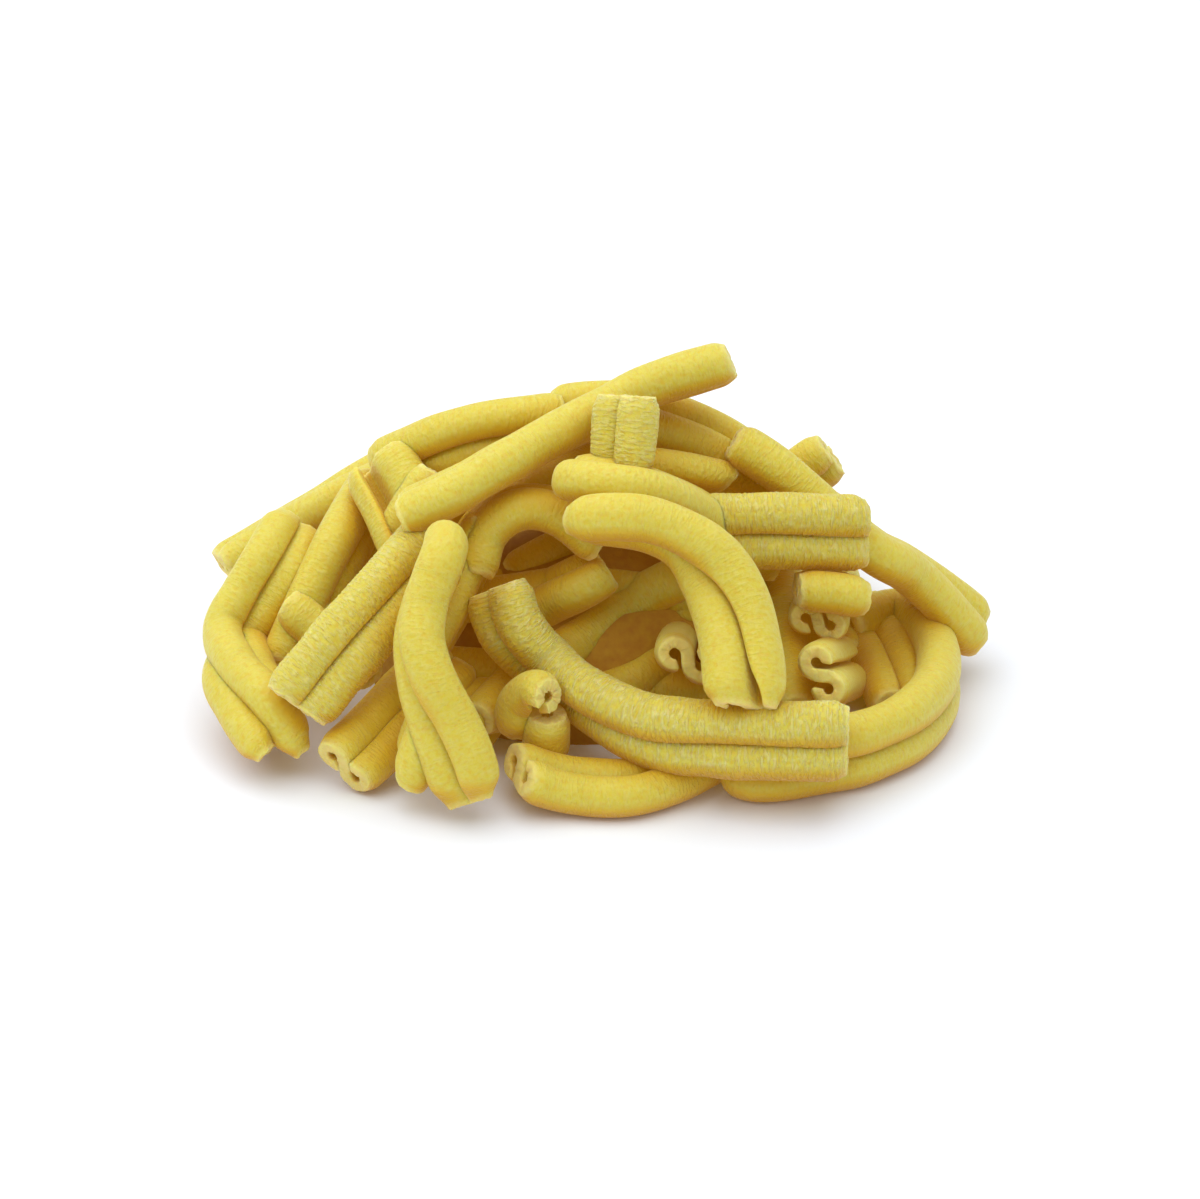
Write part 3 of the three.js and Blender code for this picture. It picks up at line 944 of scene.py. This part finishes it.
class CASERECCE_OT_stage(bpy.types.Operator):
    """Set the table, the soft lights and the camera"""

    bl_idname = "caserecce.stage"
    bl_label = "Stage"

    def execute(self, context):
        stage = context.scene.caserecce_stage
        bpy.ops.object.select_all(action="DESELECT")
        bpy.ops.mesh.primitive_plane_add(size=TABLE_SIZE)
        table = context.object
        table.name = table.data.name = "table_top"
        table.data.materials.append(shared("table_white", table_finish, context.scene.caserecce_look))

        world = bpy.data.worlds.new("surroundings")
        world.use_nodes = True
        sky = world.node_tree.nodes["Background"]
        sky.inputs["Color"].default_value = (1.0, 1.0, 1.0, 1.0)
        sky.inputs["Strength"].default_value = stage.sky
        context.scene.world = world
        self.light("overhead", OVERHEAD_PLACE, stage.key, OVERHEAD_SIZE)
        self.light("front", FRONT_PLACE, stage.fill, FRONT_SIZE)

        camera = bpy.data.objects.new("camera", bpy.data.cameras.new("camera"))
        context.collection.objects.link(camera)
        camera.data.sensor_width = SENSOR
        camera.data.lens = SENSOR * DISTANCE / (FRAME_WIDTH * UNIT)
        camera.data.clip_start, camera.data.clip_end = NEAREST, FARTHEST
        place = np.eye(4)
        place[:3, :3] = np.stack([RIGHTWARDS, UPWARDS, TO_EYE], 1)
        place[:3, 3] = (EYE + SHIFT) * MM
        camera.matrix_world = Matrix(place.tolist())
        context.scene.camera = camera
        context.scene.view_settings.view_transform = "Standard"
        context.scene.view_settings.look = "None"
        return {"FINISHED"}

    @staticmethod
    def light(name, place, power, size):
        """Hangs a square soft light that points at the heap."""
        bpy.ops.object.light_add(type="AREA", location=place)
        lamp = bpy.context.object
        lamp.name = name
        lamp.data.energy = power
        lamp.data.size = size
        back = Vector(place) - Vector(LIGHT_AIM)
        lamp.rotation_euler = back.to_track_quat("Z", "Y").to_euler()


OPERATORS = (
    CASERECCE_OT_stage,
    CASERECCE_OT_core,
    CASERECCE_OT_crest,
    CASERECCE_OT_left,
    CASERECCE_OT_middle,
    CASERECCE_OT_right,
    CASERECCE_OT_far,
)
SETTINGS = {
    "caserecce_shape": CaserecceShape,
    "caserecce_look": CaserecceLook,
    "caserecce_stage": CaserecceStage,
}


class CASERECCE_PT_panel(bpy.types.Panel):
    """Settings and steps of the heap"""

    bl_idname = "CASERECCE_PT_panel"
    bl_label = "Caserecce"
    bl_space_type = "VIEW_3D"
    bl_region_type = "UI"
    bl_category = "Caserecce"

    def draw(self, context):
        for group in SETTINGS:
            box = self.layout.box()
            settings = getattr(context.scene, group)
            for name in settings.bl_rna.properties.keys():
                if name not in {"rna_type", "name"}:
                    box.prop(settings, name)
        for operator in OPERATORS:
            self.layout.operator(operator.bl_idname)


CLASSES = (*SETTINGS.values(), *OPERATORS, CASERECCE_PT_panel)


def register():
    for one in CLASSES:
        bpy.utils.register_class(one)
    for name, group in SETTINGS.items():
        setattr(bpy.types.Scene, name, bpy.props.PointerProperty(type=group))


def unregister():
    for name in SETTINGS:
        delattr(bpy.types.Scene, name)
    for one in reversed(CLASSES):
        bpy.utils.unregister_class(one)


def main():
    register()
    bpy.ops.caserecce.stage()
    bpy.ops.caserecce.core()
    bpy.ops.caserecce.crest()
    bpy.ops.caserecce.left()
    bpy.ops.caserecce.middle()
    bpy.ops.caserecce.right()
    bpy.ops.caserecce.far()


if __name__ == "__main__":
    main()
